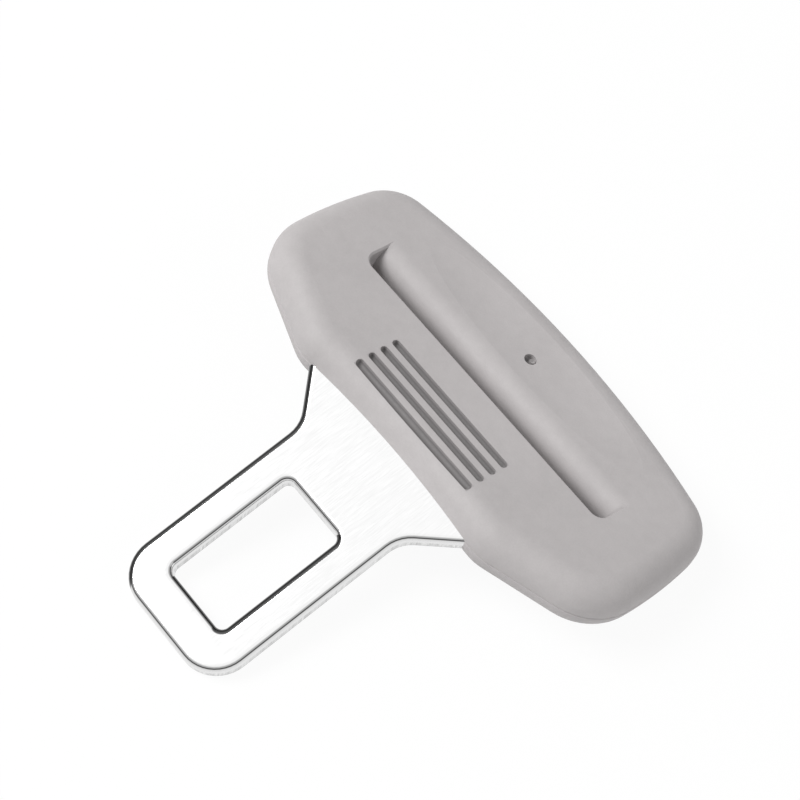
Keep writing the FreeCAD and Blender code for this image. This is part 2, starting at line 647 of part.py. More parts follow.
def cut_grooves(body):
    """The finger grooves: straight walls over a ball-nosed floor, repeated along Y."""
    half_length, radius = "(dims.groove_length / 2)", "dims.groove_radius"
    mouth = new_sketch(body, "groove_mouth", up="dims.groove_level", out="dims.front_height")
    stadium(mouth, half_length, radius)
    walls = feature(body, "Pocket", "groove_walls", mouth, Length="dims.groove_sink")
    section = new_sketch(body, "groove_section", "XZ_Plane", out="-dims.groove_level",
                         up="dims.front_height - dims.groove_sink")
    half_stadium(section, half_length, radius)
    floor = feature(body, "Groove", "groove_floor", section, Angle=360,
                    ReferenceAxis=(section, ["H_Axis"]))
    row = body.newObject("PartDesign::LinearPattern", "grooves")
    row.Originals = [walls, floor]
    row.Direction = (origin_plane(body, "Y_Axis"), [""])
    row.setExpression("Length", "(dims.groove_count - 1) * dims.groove_pitch")
    row.setExpression("Occurrences", "dims.groove_count")
    body.Tip = row
    doc.recompute()


def cut_hollow(body):
    """The shallow hollow behind the bar: an arc across it, swung about a far-off axis."""
    depth = "dims.hollow_depth"
    across = f"((dims.hollow_width ^ 2 / 4 + {depth} ^ 2) / (2 * {depth}))"
    along = f"((dims.hollow_length ^ 2 / 4 + {depth} ^ 2) / (2 * {depth}))"
    section = new_sketch(body, "hollow_section", "YZ_Plane", right=HOLLOW_LEVEL,
                         up=f"dims.front_height + {along} - {depth}")
    radius, swing, sink = value(across), value(along), value(depth)
    centre_y, cover_y = radius - swing, 2 * sink - swing
    half = math.sqrt(radius ** 2 - (cover_y - centre_y) ** 2)
    bowl = draw_arc(section, (0, centre_y), radius, (-half, cover_y), (half, cover_y))
    cover = draw_line(section, (half, cover_y), (-half, cover_y))
    relate(section, "Coincident", bowl, END, cover, START)
    relate(section, "Coincident", cover, END, bowl, START)
    relate(section, "PointOnObject", bowl, CENTRE, Y_AXIS)
    relate(section, "Horizontal", cover)
    bind(section, "Radius", (bowl,), "across", across)
    bind(section, "DistanceY", (bowl, CENTRE, *ORIGIN), "centre", f"{along} - {across}")
    bind(section, "DistanceY", (cover, START, *ORIGIN), "cover", f"{along} - 2 * {depth}")
    feature(body, "Groove", "hollow", section, ReferenceAxis=(section, ["H_Axis"]),
            Midplane=True, Angle=f"4 * acos(1 - {depth} / {along})")


def cut_gate_mark(body):
    """The recess round the moulding gate, with the torn stub standing in it."""
    level = f"({HOLLOW_LEVEL} - dims.gate_offset)"
    circles = new_sketch(body, "gate_circles", out="dims.front_height")
    recess = draw_circle(circles, (0, value(level)), value("dims.gate_diameter / 2"))
    stub = draw_circle(circles, (value("dims.stub_offset"), value(level)),
                       value("dims.stub_diameter / 2"))
    relate(circles, "PointOnObject", recess, CENTRE, Y_AXIS)
    relate(circles, "Horizontal", recess, CENTRE, stub, CENTRE)
    bind(circles, "DistanceY", (*ORIGIN, recess, CENTRE), "level", level)
    bind(circles, "DistanceX", (recess, CENTRE, stub, CENTRE), "offset", "dims.stub_offset")
    bind(circles, "Radius", (recess,), "recess", "dims.gate_diameter / 2")
    bind(circles, "Radius", (stub,), "stub", "dims.stub_diameter / 2")
    feature(body, "Pocket", "gate_recess", circles, Length="dims.gate_depth")


plate = latch_plate()
front = moulding("front_shell", 1)
cut_sockets(front)
cut_grooves(front)
cut_hollow(front)
cut_gate_mark(front)
rear = moulding("rear_shell", -1)
add_posts(rear)

# The clip lies on the back edge of the blade tip and on the rounded back edge of the far side.
# Seen from the end of the grip, the ground is the line that touches both.
BACK_ROUND = "(dims.rear_height - dims.rear_wall)"
FRONT_ROUND = "(dims.front_height - dims.front_wall)"
TIP_RUN = "(dims.blade_length - dims.burr_break)"
SPAN = (
    f"(dims.far_reach - {BACK_ROUND} + {TIP_RUN} * cos(dims.bend_angle)"
    f" - {HALF_GAUGE} * sin(dims.bend_angle))"
)
RISE = (
    f"({TIP_RUN} * sin(dims.bend_angle) + {HALF_GAUGE} * cos(dims.bend_angle)"
    " - dims.rear_wall)"
)
LEAN = f"(atan2({RISE}; {SPAN}) - asin({BACK_ROUND} / sqrt({SPAN} ^ 2 + {RISE} ^ 2)))"
BLADE_SLOPE = f"(dims.bend_angle * 1 deg - {LEAN})"
BEND_HEIGHT = (
    f"({BACK_ROUND} + (dims.far_reach - {BACK_ROUND}) * sin({LEAN})"
    f" + dims.rear_wall * cos({LEAN}))"
)
FAR_EXTENT = (
    f"((dims.far_reach - {FRONT_ROUND}) * cos({LEAN}) + dims.front_wall * sin({LEAN})"
    f" + {FRONT_ROUND})"
)
TIP_EXTENT = (
    f"(dims.blade_length * cos({BLADE_SLOPE})"
    f" + ({HALF_GAUGE} - dims.die_roll) * sin({BLADE_SLOPE}))"
)
for body in (plate, front, rear):
    body.Placement = Placement(Vector(0, 0, 0), Rotation(Vector(-1, 0, 0), value(LEAN)))
    body.setExpression("Placement.Rotation.Angle", LEAN)
    body.setExpression("Placement.Base.y", f"({TIP_EXTENT} - {FAR_EXTENT}) / 2")
    body.setExpression("Placement.Base.z", BEND_HEIGHT)
doc.recompute()

for item in doc.Objects:
    if "Invalid" in item.State or "Error" in item.State:
        raise RuntimeError(f"{item.Name} did not build: {item.State}")

os.makedirs("parts", exist_ok=True)
for body in (plate, front, rear):
    body.Label = body.Name
    shape = body.Shape
    if shape.isNull() or not shape.isValid() or len(shape.Solids) != 1:
        raise RuntimeError(f"{body.Name} is not one sound solid")
    shape.exportStep(f"parts/{body.Name}.step")
    print(body.Name, round(shape.Volume, 1), shape.BoundBox)
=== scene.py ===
# %% [markdown]
# # A seat belt tongue clip, dressed for a portrait
# The object is a bright plated steel tongue that comes out of a pale grey moulded grip and bends
# down from it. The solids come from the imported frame, at real size and in metres. This lesson
# models the stamping with its rolled edges, gives every piece its finish, puts the clip on a
# white sheet and looks at it from where the photograph was taken.

import json
import math

import bmesh
import bpy
from mathutils import Matrix, Quaternion, Vector
from mathutils.geometry import intersect_line_line, tessellate_polygon


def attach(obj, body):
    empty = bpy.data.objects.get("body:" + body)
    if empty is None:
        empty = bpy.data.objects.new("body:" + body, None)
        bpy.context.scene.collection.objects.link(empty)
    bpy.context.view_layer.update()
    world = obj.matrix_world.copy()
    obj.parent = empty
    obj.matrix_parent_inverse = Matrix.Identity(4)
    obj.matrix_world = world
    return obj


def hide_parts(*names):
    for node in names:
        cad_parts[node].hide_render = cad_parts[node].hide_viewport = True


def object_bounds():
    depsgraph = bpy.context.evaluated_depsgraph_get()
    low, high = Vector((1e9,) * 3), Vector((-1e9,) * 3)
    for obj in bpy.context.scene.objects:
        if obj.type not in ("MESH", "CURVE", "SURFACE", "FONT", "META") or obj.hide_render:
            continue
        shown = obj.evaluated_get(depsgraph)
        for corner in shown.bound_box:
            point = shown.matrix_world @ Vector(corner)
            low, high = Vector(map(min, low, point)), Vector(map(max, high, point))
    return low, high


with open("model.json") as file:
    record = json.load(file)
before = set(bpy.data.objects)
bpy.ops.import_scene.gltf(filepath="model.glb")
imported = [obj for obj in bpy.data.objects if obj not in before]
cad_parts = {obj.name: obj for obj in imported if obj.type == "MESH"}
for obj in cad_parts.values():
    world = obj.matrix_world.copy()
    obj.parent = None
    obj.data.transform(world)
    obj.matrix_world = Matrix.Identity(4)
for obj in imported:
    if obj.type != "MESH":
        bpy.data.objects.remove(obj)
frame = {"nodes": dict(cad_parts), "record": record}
cad_low, cad_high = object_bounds()
print("the frame holds", sorted(frame["nodes"]))

# %% [markdown]
# ## Units
# Blender counts in metres, but the sizes of a small object are easier to read in millimetres.
# One constant converts them: a size is written as 2.5 * MM, and divided by MM to be printed.

# %% Units
MM = 0.001
print("the clip measures", [round(size / MM, 2) for size in cad_high - cad_low], "mm")

# %% [markdown]
# ## Helpers for node materials
# Every finish below is a small tree of nodes, and a tree that is written out node by node is long
# to read. These helpers fill a socket, make a node with its sockets filled in one line, start a
# material and read places. Places are in the object's own millimetres, so a grain has the same
# real size on every piece and stays put when the camera moves.

# %% Nodes and their sockets
def plug(tree, setting, socket):
    """Feed a socket from another node's output, or set a constant on it."""
    if isinstance(setting, bpy.types.NodeSocket):
        tree.links.new(setting, socket)
    else:
        socket.default_value = setting


def add_node(tree, kind, operation=None, **sockets):
    """A node of that kind, with its sockets filled by name."""
    node = tree.nodes.new("ShaderNode" + kind)
    if operation:
        node.operation = operation
    for name, setting in sockets.items():
        plug(tree, setting, node.inputs[name.replace("_", " ")])
    return node


def start_material(name):
    """An empty material, its tree and its output node."""
    material = bpy.data.materials.new(name)
    material.use_nodes = True
    tree = material.node_tree
    tree.nodes.clear()
    return material, tree, tree.nodes.new("ShaderNodeOutputMaterial")


def place_in_mm(tree):
    """Places on the object, in millimetres."""
    place = add_node(tree, "TexCoord").outputs["Object"]
    return add_node(tree, "VectorMath", "SCALE", Vector=place, Scale=1 / MM).outputs["Vector"]


# %% [markdown]
# ## Helpers that reckon
# Finishes vary by noise and are put together by sums. A noise rarely comes near 0 or 1, so it is
# stretched from its usual reach to the range that the finish needs. The other helpers stand for
# the sums: one makes any math node, one multiplies what it is given, and one darkens a colour.

# %% Sums and ranges
NOISE_ROUGHNESS = 0.55
NOISE_REACH = (0.3, 0.7)
WHOLE = (0, 1)


def noise(tree, place, per_mm, detail=3):
    """Noise with so many features to a millimetre."""
    node = add_node(tree, "TexNoise", Vector=place, Scale=per_mm, Detail=detail,
                    Roughness=NOISE_ROUGHNESS)
    return node.outputs["Fac"]


def span(tree, factor, low, high, reach=NOISE_REACH):
    """A factor that goes from low to high while the given one goes over its reach."""
    start, end = reach
    node = add_node(tree, "MapRange", Value=factor, From_Min=start, From_Max=end,
                    To_Min=low, To_Max=high)
    return node.outputs["Result"]


def reckon(tree, operation, *terms, kind="Math"):
    """The number that a math node makes of sockets and constants."""
    node = add_node(tree, kind, operation)
    for setting, socket in zip(terms, node.inputs):
        plug(tree, setting, socket)
    return node.outputs["Value"]


def multiply(tree, first, *others):
    """The product of sockets and constants."""
    product = first
    for factor in others:
        product = reckon(tree, "MULTIPLY", product, factor)
    return product


def shade(tree, colour, factor):
    """A colour multiplied by a grey factor."""
    return add_node(tree, "VectorMath", "SCALE", Vector=colour, Scale=factor).outputs["Vector"]


# %% [markdown]
# ## Two planes and a bend
# The tongue is one stamping: a blade and an anchor head, joined by a bend. Both planes could be
# measured on the solid, but the mounts of the frame already say where they lie. The webbing slot
# is centred in the plane of the head, and the tip of the tongue lies in the plane of the blade,
# so the bend is where the two lines meet.

# %% Planes of the plate
mounts = {mount["name"]: mount for mount in frame["record"]["mounts"]}
TIP = Vector(mounts["tongue_blade"]["pos_m"])
TO_TIP = Vector(mounts["tongue_blade"]["axis"])
BLADE_UP = Vector(mounts["latch_window"]["axis"])
SLOT_MIDDLE = Vector(mounts["webbing_slot"]["pos_m"])
HEAD_UP = Vector(mounts["webbing_slot"]["axis"])
RIGHT = Vector((1, 0, 0))
TO_FAR_EDGE = HEAD_UP.cross(RIGHT)

BEND = intersect_line_line(TIP, TIP - TO_TIP, SLOT_MIDDLE, SLOT_MIDDLE - TO_FAR_EDGE)[0]
BEND_ANGLE = HEAD_UP.angle(BLADE_UP)
BLADE_LENGTH = (TIP - BEND).length
SLOT_LEVEL = (SLOT_MIDDLE - BEND).length
print("bend of", round(math.degrees(BEND_ANGLE), 2), "degrees, blade of",
      round(BLADE_LENGTH / MM, 2), "mm, slot at", round(SLOT_LEVEL / MM, 2), "mm")

# %% [markdown]
# ## Places on the grip
# Over the grip, a point is given by three distances in millimetres: across from the middle, its
# level from the bend towards the far edge, and its height over the middle plane of the head. Each
# is a dot product with a direction. A pair of numbers below is an edge: a recess counts in full
# up to the first, and no more from the second.

# %% Distances on the grip
def distance_along(tree, place, direction):
    """Millimetres from the bend to a point, along a direction."""
    along = reckon(tree, "DOT_PRODUCT", place, direction, kind="VectorMath")
    return reckon(tree, "SUBTRACT", along, BEND.dot(direction) / MM)


def gap(tree, first, second):
    """How far two numbers are apart."""
    return reckon(tree, "ABSOLUTE", reckon(tree, "SUBTRACT", first, second))


def inside(tree, distance, edge):
    """1 where a distance is short, falling to 0 over the edge."""
    return span(tree, distance, 1, 0, edge)


# %% [markdown]
# ## Painted shade in grooves, gate mark and slot ends
# Four finger grooves, the round mark of the moulding gate and both ends of the slot look darker
# in the photograph than soft lamps alone make them. An image painted on the mesh could show
# that. Here that shade is painted into the colour by place instead, from the sizes of the grip.
# Rounding the level to the pitch finds the nearest groove, so the same lines serve all four, and
# the painted shade in a groove gets darker with its depth.

# %% Painted shade in grooves, gate mark and slot ends
GROOVE_LEVEL = 1.0
GROOVE_PITCH = 2.3
GROOVE_COUNT = 4
GROOVE_SIDE = (0.60, 0.68)
GROOVE_END = (12.1, 12.4)
GROOVE_HEIGHT = (4.15, 4.95)
SLOT_HALF = 25.85
SLOT_END = (0.2, 0.7)
SLOT_SIDE = (3.6, 4.4)
SLOT_HEIGHT = (4.4, 4.75)
GATE_PLACE = Vector((-0.15, 24.4, 0))
GATE_EDGE = (0.55, 0.95)


def in_grooves(tree, across, level, height):
    """1 deep in the finger grooves and 0 elsewhere."""
    past_first = reckon(tree, "SUBTRACT", level, GROOVE_LEVEL)
    number = reckon(tree, "ROUND", reckon(tree, "DIVIDE", past_first, GROOVE_PITCH))
    number = reckon(tree, "MINIMUM", reckon(tree, "MAXIMUM", number, 0), GROOVE_COUNT - 1)
    off_groove = gap(tree, past_first, multiply(tree, number, GROOVE_PITCH))
    return multiply(tree, inside(tree, off_groove, GROOVE_SIDE),
                    inside(tree, reckon(tree, "ABSOLUTE", across), GROOVE_END),
                    inside(tree, height, GROOVE_HEIGHT))


def at_slot_ends(tree, across, level, height):
    """1 at the two ends of the webbing slot and 0 elsewhere."""
    off_end = gap(tree, reckon(tree, "ABSOLUTE", across), SLOT_HALF)
    off_slot = gap(tree, level, SLOT_LEVEL / MM)
    return multiply(tree, inside(tree, off_end, SLOT_END), inside(tree, height, SLOT_HEIGHT),
                    inside(tree, off_slot, SLOT_SIDE))


def in_gate_mark(tree, across, level):
    """1 in the round mark of the gate and 0 elsewhere."""
    on_grip = add_node(tree, "CombineXYZ", X=across, Y=level).outputs["Vector"]
    return inside(tree, reckon(tree, "DISTANCE", on_grip, GATE_PLACE, kind="VectorMath"), GATE_EDGE)


# %% [markdown]
# ## One painted shade for all recesses
# Where recesses meet, the darkest one counts, so their shares are joined by a maximum and not by
# a sum. Points on the rear half of the grip can have the same distances across and along. They
# get no painted shade, because nothing below the first number of ABOVE_SEAM counts.

# %% Painted shade of the recesses
ABOVE_SEAM = (2.4, 2.9)
# Shares of the painted shade at the slot ends and the gate mark, and its darkest grey factor.
SLOT_END_SHADE_SHARE = 0.2
GATE_SHADE_SHARE = 0.8
PAINTED_SHADE_TONE = 0.41


# Shade in the grooves, the gate mark and the ends of the slot is painted into the plastic's colour.
def painted_recess_shade(tree, place):
    """The grey factor of the plastic: 1 on open faces and less where shade is painted into the
    recesses of the front.
    """
    across = distance_along(tree, place, RIGHT)
    level = distance_along(tree, place, TO_FAR_EDGE)
    height = distance_along(tree, place, HEAD_UP)
    gate = multiply(tree, in_gate_mark(tree, across, level), GATE_SHADE_SHARE)
    slot_ends = multiply(tree, at_slot_ends(tree, across, level, height), SLOT_END_SHADE_SHARE)
    recesses = reckon(tree, "MAXIMUM", in_grooves(tree, across, level, height), gate)
    recesses = reckon(tree, "MAXIMUM", recesses, slot_ends)
    on_front = span(tree, height, 0, 1, ABOVE_SEAM)
    return span(tree, multiply(tree, recesses, on_front), 1, PAINTED_SHADE_TONE, WHOLE)


# %% [markdown]
# ## The grip plastic
# The real grip is a soft-looking, warm grey moulding with a fine matt spark texture. It has no
# shine to speak of, and its grey is never quite even. Noise at three sizes gives that: a slow
# drift over 25 mm, a mottle of under 2 mm, and a spark grain a quarter of a millimetre across
# that also drives the bump. A fourth noise varies how matt it is.

# %% Grip plastic
GRIP_GREY = (0.462, 0.440, 0.440)
DRIFT_PER_MM = 0.04
DRIFT_TONES = (0.95, 1.05)
MOTTLE_PER_MM = 0.6
SPARK_PER_MM = 4.5
FINE_TONES = (0.975, 1.025)
SPARK_DEPTH = 0.06 * MM
SPARK_STRENGTH = 0.22
MATT_PER_MM = 1.5
PLASTIC_ROUGHNESS = (0.52, 0.66)
PLASTIC_IOR = 1.46


def grip_plastic():
    material, tree, output = start_material("grip_plastic_matt")
    place = place_in_mm(tree)
    drift = span(tree, noise(tree, place, DRIFT_PER_MM, detail=2), *DRIFT_TONES)
    mottle = span(tree, noise(tree, place, MOTTLE_PER_MM, detail=4), *FINE_TONES)
    spark = noise(tree, place, SPARK_PER_MM, detail=2)
    # This tone joins random drift, mottle and spark with the painted shade of the recesses.
    tone = multiply(tree, drift, mottle, span(tree, spark, *FINE_TONES), painted_recess_shade(tree, place))
    bump = add_node(tree, "Bump", Height=spark, Strength=SPARK_STRENGTH, Distance=SPARK_DEPTH)
    matt = span(tree, noise(tree, place, MATT_PER_MM), *PLASTIC_ROUGHNESS)
    skin = add_node(tree, "BsdfPrincipled", Base_Color=shade(tree, GRIP_GREY, tone),
                    Roughness=matt, Normal=bump.outputs["Normal"], IOR=PLASTIC_IOR)
    tree.links.new(skin.outputs["BSDF"], output.inputs["Surface"])
    return material


# %% [markdown]
# ## Finish the moulded grip
# Both halves of the grip keep their solids from the frame and only get the plastic. They could be
# modelled again as meshes, but the rounds of the solids are right, so a finish is all they need.

# %% Finish the shells
shell_finish = grip_plastic()
for name in ("front_shell", "rear_shell"):
    node = frame["nodes"][name]
    for slot in node.material_slots:
        slot.material = shell_finish
    print(name, "has", len(node.data.polygons), "faces and the finish", shell_finish.name)

# %% [markdown]
# ## The edges of the steel
# The tongue is stamped from sheet and bright plated, so it mirrors its white surroundings and
# only its edges draw it. Its mesh, made further down, carries a number called edge_turn, which is
# 0 on the front face, grows to 1 over the rolled edge, to 2 down the sheared wall and to 3 over
# the broken back edge. In the photograph, thin dark lines run along the roll, where it mirrors
# something dark. This studio is white all round, so a colour ramp over edge_turn paints these
# reflections into the colour as dark lines. The rolls that turn to the left also get a painted
# dark reflection over nearly their whole width, by the direction of their normal.

# %% Tones and painted reflections of a cut edge
WALL_TURN = 2.0
LAST_TURN = 3.0
# Each stop is edge_turn and grey; the dark lines over the roll are painted reflections.
EDGE_GREYS_AND_PAINTED_REFLECTIONS = [
    (0.00, 1.00), (0.22, 0.95), (0.30, 0.48), (0.36, 0.42), (0.41, 0.07), (0.47, 0.07),
    (0.53, 0.72), (0.75, 0.84), (1.90, 0.76), (1.98, 0.40), (2.90, 0.40), (3.00, 1.00),
]
# Rolls that face this way get a painted dark reflection over their width.
DARK_REFLECTION_SIDE = Vector((-0.97, 0.24, 0.0))
DARK_REFLECTION_FROM = (0.04, 0.12)
ROLL_ENDS = (0.8, 1.0)
DARK_REFLECTION_TONE = 0.13


def edge_grey_and_painted_reflection(tree, turn):
    """The grey of each stretch of a cut edge, with painted reflections on the roll, as a ramp over
    edge_turn.
    """
    ramp = add_node(tree, "ValToRGB", Fac=span(tree, turn, 0, 1, (0, LAST_TURN)))
    stops = ramp.color_ramp.elements
    stops.remove(stops[-1])
    for number, (level, tone) in enumerate(EDGE_GREYS_AND_PAINTED_REFLECTIONS):
        stop = stops[0] if number == 0 else stops.new(level / LAST_TURN)
        stop.position = level / LAST_TURN
        stop.color = (tone, tone, tone, 1)
    return ramp.outputs["Color"]


def painted_dark_reflection(tree, turn):
    """1 on bright metal, less on the rolls that turn to the left, where a dark reflection is
    painted.
    """
    normal = add_node(tree, "TexCoord").outputs["Normal"]
    facing = reckon(tree, "DOT_PRODUCT", normal, DARK_REFLECTION_SIDE, kind="VectorMath")
    turned_there = span(tree, facing, 0, 1, DARK_REFLECTION_FROM)
    dark = multiply(tree, turned_there, inside(tree, turn, ROLL_ENDS))
    return span(tree, dark, 1, DARK_REFLECTION_TONE, WHOLE)


# %% [markdown]
# ## The plated steel
# Plating is thin, so the brushed grain of the sheet shows through it as fine lines along the
# blade, and the sheared wall keeps its upright marks. Both are noises that a Mapping node
# stretches: a scale near 0 draws the features out in that direction. The colour is a little under
# white, because a metal's colour is the share of light that it mirrors.

# %% Plated steel
STEEL_BRIGHT = (0.94, 0.94, 0.94)
BRUSH_STRETCH = (1.0, 0.06, 0.06)
BRUSH_PER_MM = 6.0
BRUSH_TONES = (0.975, 1.02)
BRUSH_DEPTH = 0.02 * MM
BRUSH_STRENGTH = 0.05
SHEAR_STRETCH = (1.0, 1.0, 0.08)
SHEAR_PER_MM = 2.5
SHEAR_TONES = (0.62, 1.08)
PAST_ROLL = (0.9, 1.1)
STEEL_ROUGHNESS = (0.10, 0.16)


def stretched_noise(tree, place, stretch, per_mm, detail):
    """Noise drawn out into lines."""
    mapping = add_node(tree, "Mapping", Vector=place, Scale=stretch)
    return noise(tree, mapping.outputs["Vector"], per_mm, detail)


def plated_steel():
    material, tree, output = start_material("steel_plated")
    place = place_in_mm(tree)
    reader = add_node(tree, "Attribute")
    reader.attribute_name = "edge_turn"
    turn = reader.outputs["Fac"]

    brush = stretched_noise(tree, place, BRUSH_STRETCH, BRUSH_PER_MM, detail=3)
    shear = stretched_noise(tree, place, SHEAR_STRETCH, SHEAR_PER_MM, detail=4)
    marks = add_node(tree, "Mix", Factor=span(tree, turn, 0, 1, PAST_ROLL), A=1.0,
                     B=span(tree, shear, *SHEAR_TONES))
    # The edge ramp and the left-facing rolls add painted reflections to the grain and shear marks.
    tone = multiply(tree, edge_grey_and_painted_reflection(tree, turn), marks.outputs["Result"], painted_dark_reflection(tree, turn),
                    span(tree, brush, *BRUSH_TONES))

    bump = add_node(tree, "Bump", Height=brush, Strength=BRUSH_STRENGTH, Distance=BRUSH_DEPTH)
    skin = add_node(tree, "BsdfPrincipled", Base_Color=shade(tree, STEEL_BRIGHT, tone),
                    Roughness=span(tree, brush, *STEEL_ROUGHNESS),
                    Normal=bump.outputs["Normal"], Metallic=1.0)
    tree.links.new(skin.outputs["BSDF"], output.inputs["Surface"])
    return material


# %% [markdown]
# ## The plate: outlines with round corners
# A press shop starts from the flat pattern, and so does this mesh. A plain slab with a bevel
# modifier could stand for it, but then nothing would say how far round the edge a point lies.
# Every outline here is a closed run of corners (x, y, radius), drawn on the right side and
# mirrored to the left. Outlines run so that the metal is always on their left.

# %% Outlines
ARC_STEP = math.radians(8)


def rounded(corners):
    """Points of a closed outline whose corners (x, y, radius) are rounded."""
    points = []
    for i, (x, y, radius) in enumerate(corners):
        corner = Vector((x, y))
        back = (Vector(corners[i - 1][:2]) - corner).normalized()
        onward = (Vector(corners[(i + 1) % len(corners)][:2]) - corner).normalized()
        if radius == 0:
            points.append(corner)
            continue
        half = back.angle(onward) / 2
        centre = corner + (back + onward).normalized() * radius / math.sin(half)
        start = corner + back * radius / math.tan(half) - centre
        turn = (math.pi - 2 * half) * (1 if back.x * onward.y < back.y * onward.x else -1)
        steps = max(2, round(abs(turn) / ARC_STEP))
        for step in range(steps + 1):
            swing = Matrix.Rotation(turn * step / steps, 2)
            points.append(centre + swing @ start)
    return points


def mirrored(corners):
    """The corners on the right, followed by the same ones on the left."""
    return corners + [(-x, y, radius) for x, y, radius in reversed(corners)]


def circle(x, y, radius):
    """Points of a round hole."""
    count = round(2 * math.pi / ARC_STEP)
    return [Vector((x, y)) + Vector((math.cos(turn), -math.sin(turn))) * radius
            for turn in (2 * math.pi * i / count for i in range(count))]


# %% [markdown]
# ## The plate: its flat pattern
# The pattern has x across the plate and y from the bend towards the tip, so the head has negative
# y. Its sizes are those of the solid, apart from two that follow the photograph more closely: the
# neck starts to widen 0.8 mm nearer to the tip, and the window has tighter corners. Most of the
# head is hidden in the grip, and is drawn all the same, because a stamping is one piece.

# %% Sizes of the plate
GAUGE = 2.5 * MM
BEND_RADIUS = 3.0 * MM
HALF_BLADE = 11.0 * MM
TIP_RADIUS = 5.8 * MM
NECK_LENGTH = 8.7 * MM
NECK_ANGLE = math.radians(43.7)
SHOULDER_RADIUS = 5.0 * MM
HEAD_SLOPE = math.radians(20.9)
HALF_HEAD = 34.3 * MM
HEAD_RADIUS = 5.0 * MM
HEAD_FAR = 26.6 * MM
HALF_WINDOW = 5.7 * MM
WINDOW_SETBACK = 6.1 * MM
WINDOW_LENGTH = 20.6 * MM
WINDOW_RADIUS = 1.2 * MM
HALF_ROOM = Vector((27.27, 2.87)) * MM
POST_HOLE = 1.6 * MM
POST_ACROSS = 18.5 * MM
POST_ROWS = (6.82 * MM, 22.41 * MM)

middle_radius = BEND_RADIUS + GAUGE / 2
tangent = middle_radius * math.tan(BEND_ANGLE / 2)
half_neck = HALF_BLADE + (NECK_LENGTH - tangent) * math.tan(NECK_ANGLE)
head_near = tangent + (HALF_HEAD - half_neck) * math.tan(HEAD_SLOPE)
print("the neck is", round(2 * half_neck / MM, 1), "mm wide where the bend starts")

# %% [markdown]
# ## The plate: seven outlines
# The outside comes first, then the latch window, the room that the head leaves for the webbing,
# and four holes for the posts of the grip. A corner with no radius stays sharp.

# %% Flat pattern
outline = rounded(mirrored([
    (HALF_HEAD, -HEAD_FAR, HEAD_RADIUS),
    (HALF_HEAD, -head_near, HEAD_RADIUS),
    (half_neck, -tangent, 0),
    (half_neck, tangent, 0),
    (HALF_BLADE, NECK_LENGTH, SHOULDER_RADIUS),
    (HALF_BLADE, BLADE_LENGTH, TIP_RADIUS),
]))
window_end = BLADE_LENGTH - WINDOW_SETBACK
window = rounded(mirrored([
    (HALF_WINDOW, window_end, WINDOW_RADIUS),
    (HALF_WINDOW, window_end - WINDOW_LENGTH, WINDOW_RADIUS),
]))
room = rounded(mirrored([
    (HALF_ROOM.x, HALF_ROOM.y - SLOT_LEVEL, 0),
    (HALF_ROOM.x, -HALF_ROOM.y - SLOT_LEVEL, 0),
]))
post_holes = [circle(side * POST_ACROSS, -row, POST_HOLE) for row in POST_ROWS for side in (-1, 1)]
pattern = [outline, window, room, *post_holes]
print("flat pattern of", len(pattern), "outlines and", sum(map(len, pattern)), "points")

# %% [markdown]
# ## The plate: a rolled edge
# The punch draws the front edges over in a soft roll, and tumbling breaks the back ones. Each
# outline is therefore repeated at several heights, like contour lines, a little further into the
# metal where the edge is round. Each step also knows its edge_turn, which the finish reads.

# %% Rolled edge
ROLL = 1.1 * MM
ROLL_STEPS = 9
BREAK = 0.2 * MM


def edge_profile():
    """Steps down a cut edge: how far into the metal, its height, and its edge_turn."""
    steps = []
    for step in range(ROLL_STEPS + 1):
        share = step / ROLL_STEPS
        turn = math.pi / 2 * share
        inset = ROLL * (1 - math.sin(turn))
        steps.append((inset, GAUGE / 2 - ROLL * (1 - math.cos(turn)), share))
    steps.append((0, BREAK - GAUGE / 2, WALL_TURN))
    steps.append((BREAK, -GAUGE / 2, LAST_TURN))
    return steps


def moved_in(points, distance):
    """The outline moved into the metal, which lies on the left of its direction."""
    result = []
    for i, point in enumerate(points):
        before = (point - points[i - 1]).normalized()
        after = (points[(i + 1) % len(points)] - point).normalized()
        left = Vector((-before.y - after.y, before.x + after.x)).normalized()
        result.append(point + left * distance / left.dot(Vector((-before.y, before.x))))
    return result


print("a cut edge has", len(edge_profile()), "steps")

# %% [markdown]
# ## The plate: round the bend
# The flat metal is cut across in narrow strips where the bend will be, and then every point is
# moved to where bending takes it. What lies over the bend goes round its axis, what lies past it
# follows the plane of the blade, and the rest stays in the plane of the head.

# %% Bend
BEND_STEPS = 8
ON_THE_CUT = 1e-7


def cut_for_bend(metal):
    """Rows of edges across the metal, so that it can go round the bend."""
    for step in range(BEND_STEPS + 1):
        level = tangent * (2 * step / BEND_STEPS - 1)
        everything = metal.verts[:] + metal.edges[:] + metal.faces[:]
        bmesh.ops.bisect_plane(metal, geom=everything, plane_co=(0, level, 0),
                               plane_no=(0, 1, 0), dist=ON_THE_CUT)


def fold(place):
    """Where a point of the flat metal goes when it is bent."""
    x, along, height = place
    if along > tangent:
        return BEND + RIGHT * x + TO_TIP * along + BLADE_UP * height
    if along < -tangent:
        return BEND + RIGHT * x - TO_FAR_EDGE * along + HEAD_UP * height
    centre = BEND + TO_FAR_EDGE * tangent - HEAD_UP * middle_radius
    turn = BEND_ANGLE * (along + tangent) / (2 * tangent)
    outwards = HEAD_UP * math.cos(turn) - TO_FAR_EDGE * math.sin(turn)
    return centre + RIGHT * x + outwards * (middle_radius + height)


print("the bend takes", round(2 * tangent / MM, 2), "mm of the flat metal")

# %% [markdown]
# ## The plate: walls and caps
# Quads join each outline to the next one down, and a flat cap closes the front and the back.
# tessellate_polygon fills the outer outline and leaves the openings free, which a single polygon
# can't do.

